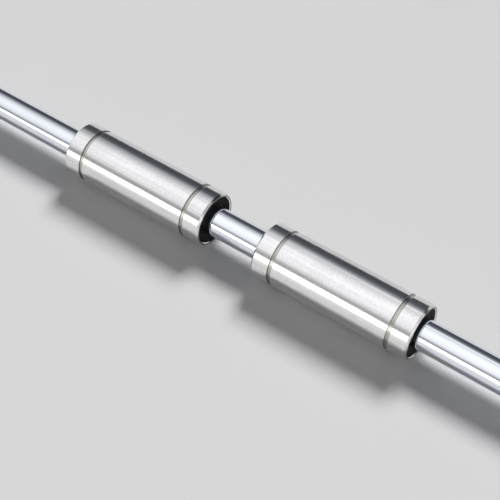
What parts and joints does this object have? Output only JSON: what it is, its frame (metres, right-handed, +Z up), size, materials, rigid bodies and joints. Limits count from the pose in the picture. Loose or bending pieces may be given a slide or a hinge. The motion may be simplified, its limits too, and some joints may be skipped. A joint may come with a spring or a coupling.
{
  "type": "linear ball bearing",
  "caption": "Round polished shaft carrying long linear ball bearings: grooved steel sleeves with black end seals, sliding on recirculating balls.",
  "frame": {"origin": "on the shaft's axis, midway along the shaft and between the two bearings", "axes": "+X along the shaft towards the right bearing, +Z up, +Y to the left when looking along +X"},
  "size_m": [0.2, 0.015, 0.015],
  "materials": {
    "hard_chrome": "ground and hard chromed, mirror bright",
    "bearing_steel": "hardened and ground, satin with fine marks",
    "cage_plastic": "moulded, matt",
    "spacer_plastic": "moulded, matt",
    "seal_rubber": "moulded rubber, matt",
    "ring_steel": "blued spring steel",
    "ball_steel": "polished"
  },
  "bodies": {
    "shaft": {"shaft": "hard_chrome"},
    "left_bearing": {"left_sleeve": "bearing_steel", "left_spacer": "spacer_plastic", "left_outer_cage": "cage_plastic", "left_outer_seal": "seal_rubber", "left_outer_stop_ring": "ring_steel", "left_outer_balls_1": "ball_steel", "left_outer_balls_2": "ball_steel", "left_outer_balls_3": "ball_steel", "left_outer_balls_4": "ball_steel", "left_inner_cage": "cage_plastic", "left_inner_seal": "seal_rubber", "left_inner_stop_ring": "ring_steel", "left_inner_balls_1": "ball_steel", "left_inner_balls_2": "ball_steel", "left_inner_balls_3": "ball_steel", "left_inner_balls_4": "ball_steel"},
    "right_bearing": {"right_sleeve": "bearing_steel", "right_spacer": "spacer_plastic", "right_outer_cage": "cage_plastic", "right_outer_seal": "seal_rubber", "right_outer_stop_ring": "ring_steel", "right_outer_balls_1": "ball_steel", "right_outer_balls_2": "ball_steel", "right_outer_balls_3": "ball_steel", "right_outer_balls_4": "ball_steel", "right_inner_cage": "cage_plastic", "right_inner_seal": "seal_rubber", "right_inner_stop_ring": "ring_steel", "right_inner_balls_1": "ball_steel", "right_inner_balls_2": "ball_steel", "right_inner_balls_3": "ball_steel", "right_inner_balls_4": "ball_steel"}
  },
  "joints": [
    {"name": "left_bearing_slide", "type": "slide", "parent": "shaft", "child": "left_bearing", "axis": [1, 0, 0], "range_m": [-0.046, 0.008]},
    {"name": "right_bearing_slide", "type": "slide", "parent": "shaft", "child": "right_bearing", "axis": [1, 0, 0], "range_m": [-0.008, 0.046]}
  ]
}
